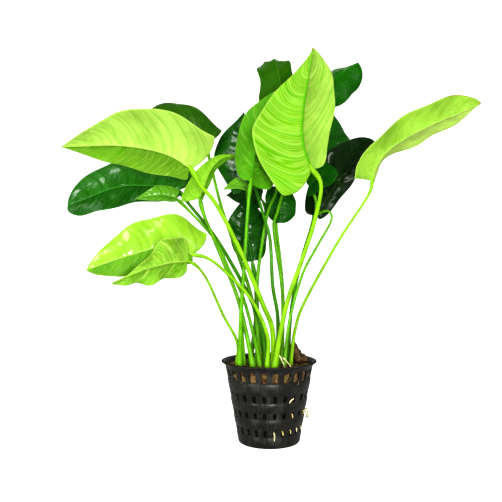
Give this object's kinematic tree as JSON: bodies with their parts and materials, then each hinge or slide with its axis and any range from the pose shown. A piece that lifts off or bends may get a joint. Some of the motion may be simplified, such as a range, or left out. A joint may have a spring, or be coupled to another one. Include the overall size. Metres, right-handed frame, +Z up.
{
  "type": "potted anubias plant",
  "caption": "Broad-leaved aquarium plant with slim arching stalks, growing from a fibre plug in a small black slotted net pot.",
  "frame": {"origin": "middle of the pot's flat underside, at floor level", "axes": "+Z up along the pot's axis, -Y towards the front of the plant, +X to the right as seen from the front"},
  "size_m": [0.2339, 0.1187, 0.2421],
  "materials": {
    "pot_plastic": "satin",
    "fibre": "matte",
    "rhizome": "matte",
    "root": "matte",
    "stalk_light": "satin",
    "stalk_deep": "satin",
    "leaf_light": "satin",
    "leaf_fresh": "satin",
    "leaf_deep": "gloss",
    "leaf_dark": "gloss"
  },
  "bodies": {
    "root": {"net_pot": "pot_plastic", "growing_medium": "fibre", "rhizome": "rhizome", "root_crown_left": "root", "root_crown_right": "root", "root_front_upper": "root", "root_front_lower": "root", "root_side_upper": "root", "root_side_lower": "root", "stalk_front": "stalk_light", "leaf_front": "leaf_light", "stalk_upper_left": "stalk_light", "leaf_upper_left": "leaf_light", "stalk_left_dark": "stalk_deep", "leaf_left_dark": "leaf_dark", "stalk_left_edge": "stalk_light", "leaf_left_edge": "leaf_fresh", "stalk_yellow": "stalk_light", "leaf_yellow": "leaf_light", "stalk_middle": "stalk_light", "leaf_middle": "leaf_fresh", "stalk_top_back_left": "stalk_deep", "leaf_top_back_left": "leaf_deep", "stalk_top_back_right": "stalk_deep", "leaf_top_back_right": "leaf_deep", "stalk_left_back": "stalk_deep", "leaf_left_back": "leaf_deep", "stalk_back_left_dark": "stalk_deep", "leaf_back_left_dark": "leaf_dark", "stalk_young": "stalk_light", "leaf_young": "leaf_light", "stalk_right_back_dark": "stalk_deep", "leaf_right_back_dark": "leaf_dark", "stalk_right_dark": "stalk_deep", "leaf_right_dark": "leaf_dark", "stalk_small_dark": "stalk_deep", "leaf_small_dark": "leaf_deep", "stalk_right_leaf": "stalk_light", "leaf_right_leaf": "leaf_light", "stalk_low_left": "stalk_light", "leaf_low_left": "leaf_light", "stalk_low_left_front": "stalk_light", "leaf_low_left_front": "leaf_fresh", "stalk_low_centre": "stalk_deep", "leaf_low_centre": "leaf_dark", "stalk_hanging": "stalk_deep", "leaf_hanging": "leaf_deep", "stalk_centre_back": "stalk_deep", "leaf_centre_back": "leaf_dark"}
  },
  "joints": []
}
